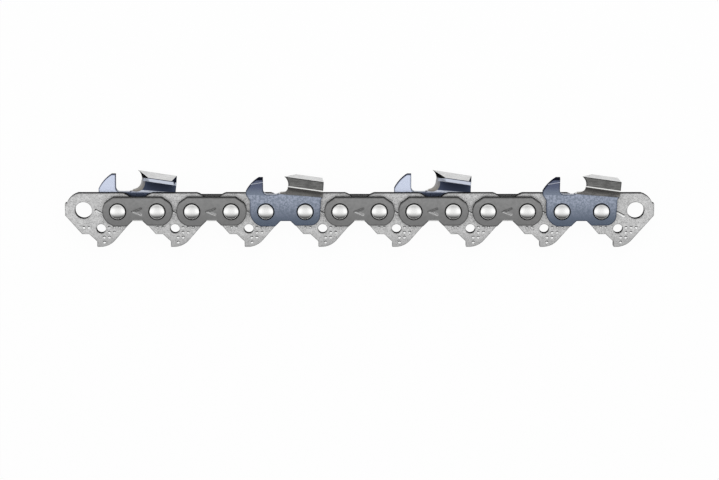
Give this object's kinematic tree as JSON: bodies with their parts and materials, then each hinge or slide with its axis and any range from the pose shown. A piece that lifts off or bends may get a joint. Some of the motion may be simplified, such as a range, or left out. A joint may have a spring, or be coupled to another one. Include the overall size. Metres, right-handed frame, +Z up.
{
  "type": "saw chain length",
  "caption": "Open length of full-chisel saw chain: hooked drive links between riveted side straps, with cutters on alternate sides, free to bend at each rivet.",
  "frame": {"origin": "on the surface that the chain lies on, below the middle of its bounding box: midway between the two ends, and midway between the tang tips and the cutter tips", "axes": "+X along the chain from its leading end to its trailing end, against its travel; +Y from the drive tangs to the cutters; +Z up through its thickness, along the rivets, from the far side to the near side of the picture"},
  "size_m": [0.1486, 0.0188, 0.008],
  "materials": {
    "drive_link_steel": "bright tumbled steel, slightly speckled",
    "strap_steel": "dark grey oxide, satin",
    "cutter_steel": "blued steel, satin, with bright ground edges and a chromed top plate",
    "rivet_steel": "bright polished heads"
  },
  "bodies": {
    "drive_link_1": {"drive_link_1": "drive_link_steel"},
    "drive_link_2": {"drive_link_2": "drive_link_steel"},
    "drive_link_3": {"drive_link_3": "drive_link_steel"},
    "drive_link_4": {"drive_link_4": "drive_link_steel"},
    "drive_link_5": {"drive_link_5": "drive_link_steel"},
    "drive_link_6": {"drive_link_6": "drive_link_steel"},
    "drive_link_7": {"drive_link_7": "drive_link_steel"},
    "drive_link_8": {"drive_link_8": "drive_link_steel"},
    "side_links_1": {"near_tie_strap_1": "strap_steel", "far_cutter_1": "cutter_steel", "rivet_1": "rivet_steel", "rivet_2": "rivet_steel"},
    "side_links_2": {"near_tie_strap_2": "strap_steel", "far_tie_strap_2": "strap_steel", "rivet_3": "rivet_steel", "rivet_4": "rivet_steel"},
    "side_links_3": {"near_cutter_3": "cutter_steel", "far_tie_strap_3": "strap_steel", "rivet_5": "rivet_steel", "rivet_6": "rivet_steel"},
    "side_links_4": {"near_tie_strap_4": "strap_steel", "far_tie_strap_4": "strap_steel", "rivet_7": "rivet_steel", "rivet_8": "rivet_steel"},
    "side_links_5": {"near_tie_strap_5": "strap_steel", "far_cutter_5": "cutter_steel", "rivet_9": "rivet_steel", "rivet_10": "rivet_steel"},
    "side_links_6": {"near_tie_strap_6": "strap_steel", "far_tie_strap_6": "strap_steel", "rivet_11": "rivet_steel", "rivet_12": "rivet_steel"},
    "side_links_7": {"near_cutter_7": "cutter_steel", "far_tie_strap_7": "strap_steel", "rivet_13": "rivet_steel", "rivet_14": "rivet_steel"}
  },
  "joints": [
    {"name": "rivet_hinge_1", "type": "hinge", "parent": "side_links_1", "child": "drive_link_1", "pos_m": [-0.06087, 0.00002, 0.004], "axis": [0, 0, 1], "range_deg": [-10, 22.5]},
    {"name": "rivet_hinge_2", "type": "hinge", "parent": "drive_link_2", "child": "side_links_1", "pos_m": [-0.05097, 0.00002, 0.004], "axis": [0, 0, 1], "range_deg": [-10, 22.5]},
    {"name": "rivet_hinge_3", "type": "hinge", "parent": "side_links_2", "child": "drive_link_2", "pos_m": [-0.04224, 0.00002, 0.004], "axis": [0, 0, 1], "range_deg": [-10, 22.5]},
    {"name": "rivet_hinge_4", "type": "hinge", "parent": "drive_link_3", "child": "side_links_2", "pos_m": [-0.03232, 0.00002, 0.004], "axis": [0, 0, 1], "range_deg": [-10, 22.5]},
    {"name": "rivet_hinge_5", "type": "hinge", "parent": "side_links_3", "child": "drive_link_3", "pos_m": [-0.0236, 0.00002, 0.004], "axis": [0, 0, 1], "range_deg": [-10, 22.5]},
    {"name": "rivet_hinge_6", "type": "hinge", "parent": "drive_link_4", "child": "side_links_3", "pos_m": [-0.01368, 0.00002, 0.004], "axis": [0, 0, 1], "range_deg": [-10, 22.5]},
    {"name": "rivet_hinge_7", "type": "hinge", "parent": "side_links_4", "child": "drive_link_4", "pos_m": [-0.00496, 0.00002, 0.004], "axis": [0, 0, 1], "range_deg": [-10, 22.5]},
    {"name": "rivet_hinge_8", "type": "hinge", "parent": "side_links_4", "child": "drive_link_5", "pos_m": [0.00496, 0.00002, 0.004], "axis": [0, 0, -1], "range_deg": [-10, 22.5]},
    {"name": "rivet_hinge_9", "type": "hinge", "parent": "drive_link_5", "child": "side_links_5", "pos_m": [0.01368, 0.00002, 0.004], "axis": [0, 0, -1], "range_deg": [-10, 22.5]},
    {"name": "rivet_hinge_10", "type": "hinge", "parent": "side_links_5", "child": "drive_link_6", "pos_m": [0.0236, 0.00002, 0.004], "axis": [0, 0, -1], "range_deg": [-10, 22.5]},
    {"name": "rivet_hinge_11", "type": "hinge", "parent": "drive_link_6", "child": "side_links_6", "pos_m": [0.03232, 0.00002, 0.004], "axis": [0, 0, -1], "range_deg": [-10, 22.5]},
    {"name": "rivet_hinge_12", "type": "hinge", "parent": "side_links_6", "child": "drive_link_7", "pos_m": [0.04224, 0.00002, 0.004], "axis": [0, 0, -1], "range_deg": [-10, 22.5]},
    {"name": "rivet_hinge_13", "type": "hinge", "parent": "drive_link_7", "child": "side_links_7", "pos_m": [0.05097, 0.00002, 0.004], "axis": [0, 0, -1], "range_deg": [-10, 22.5]},
    {"name": "rivet_hinge_14", "type": "hinge", "parent": "side_links_7", "child": "drive_link_8", "pos_m": [0.06087, 0.00002, 0.004], "axis": [0, 0, -1], "range_deg": [-10, 22.5]}
  ]
}
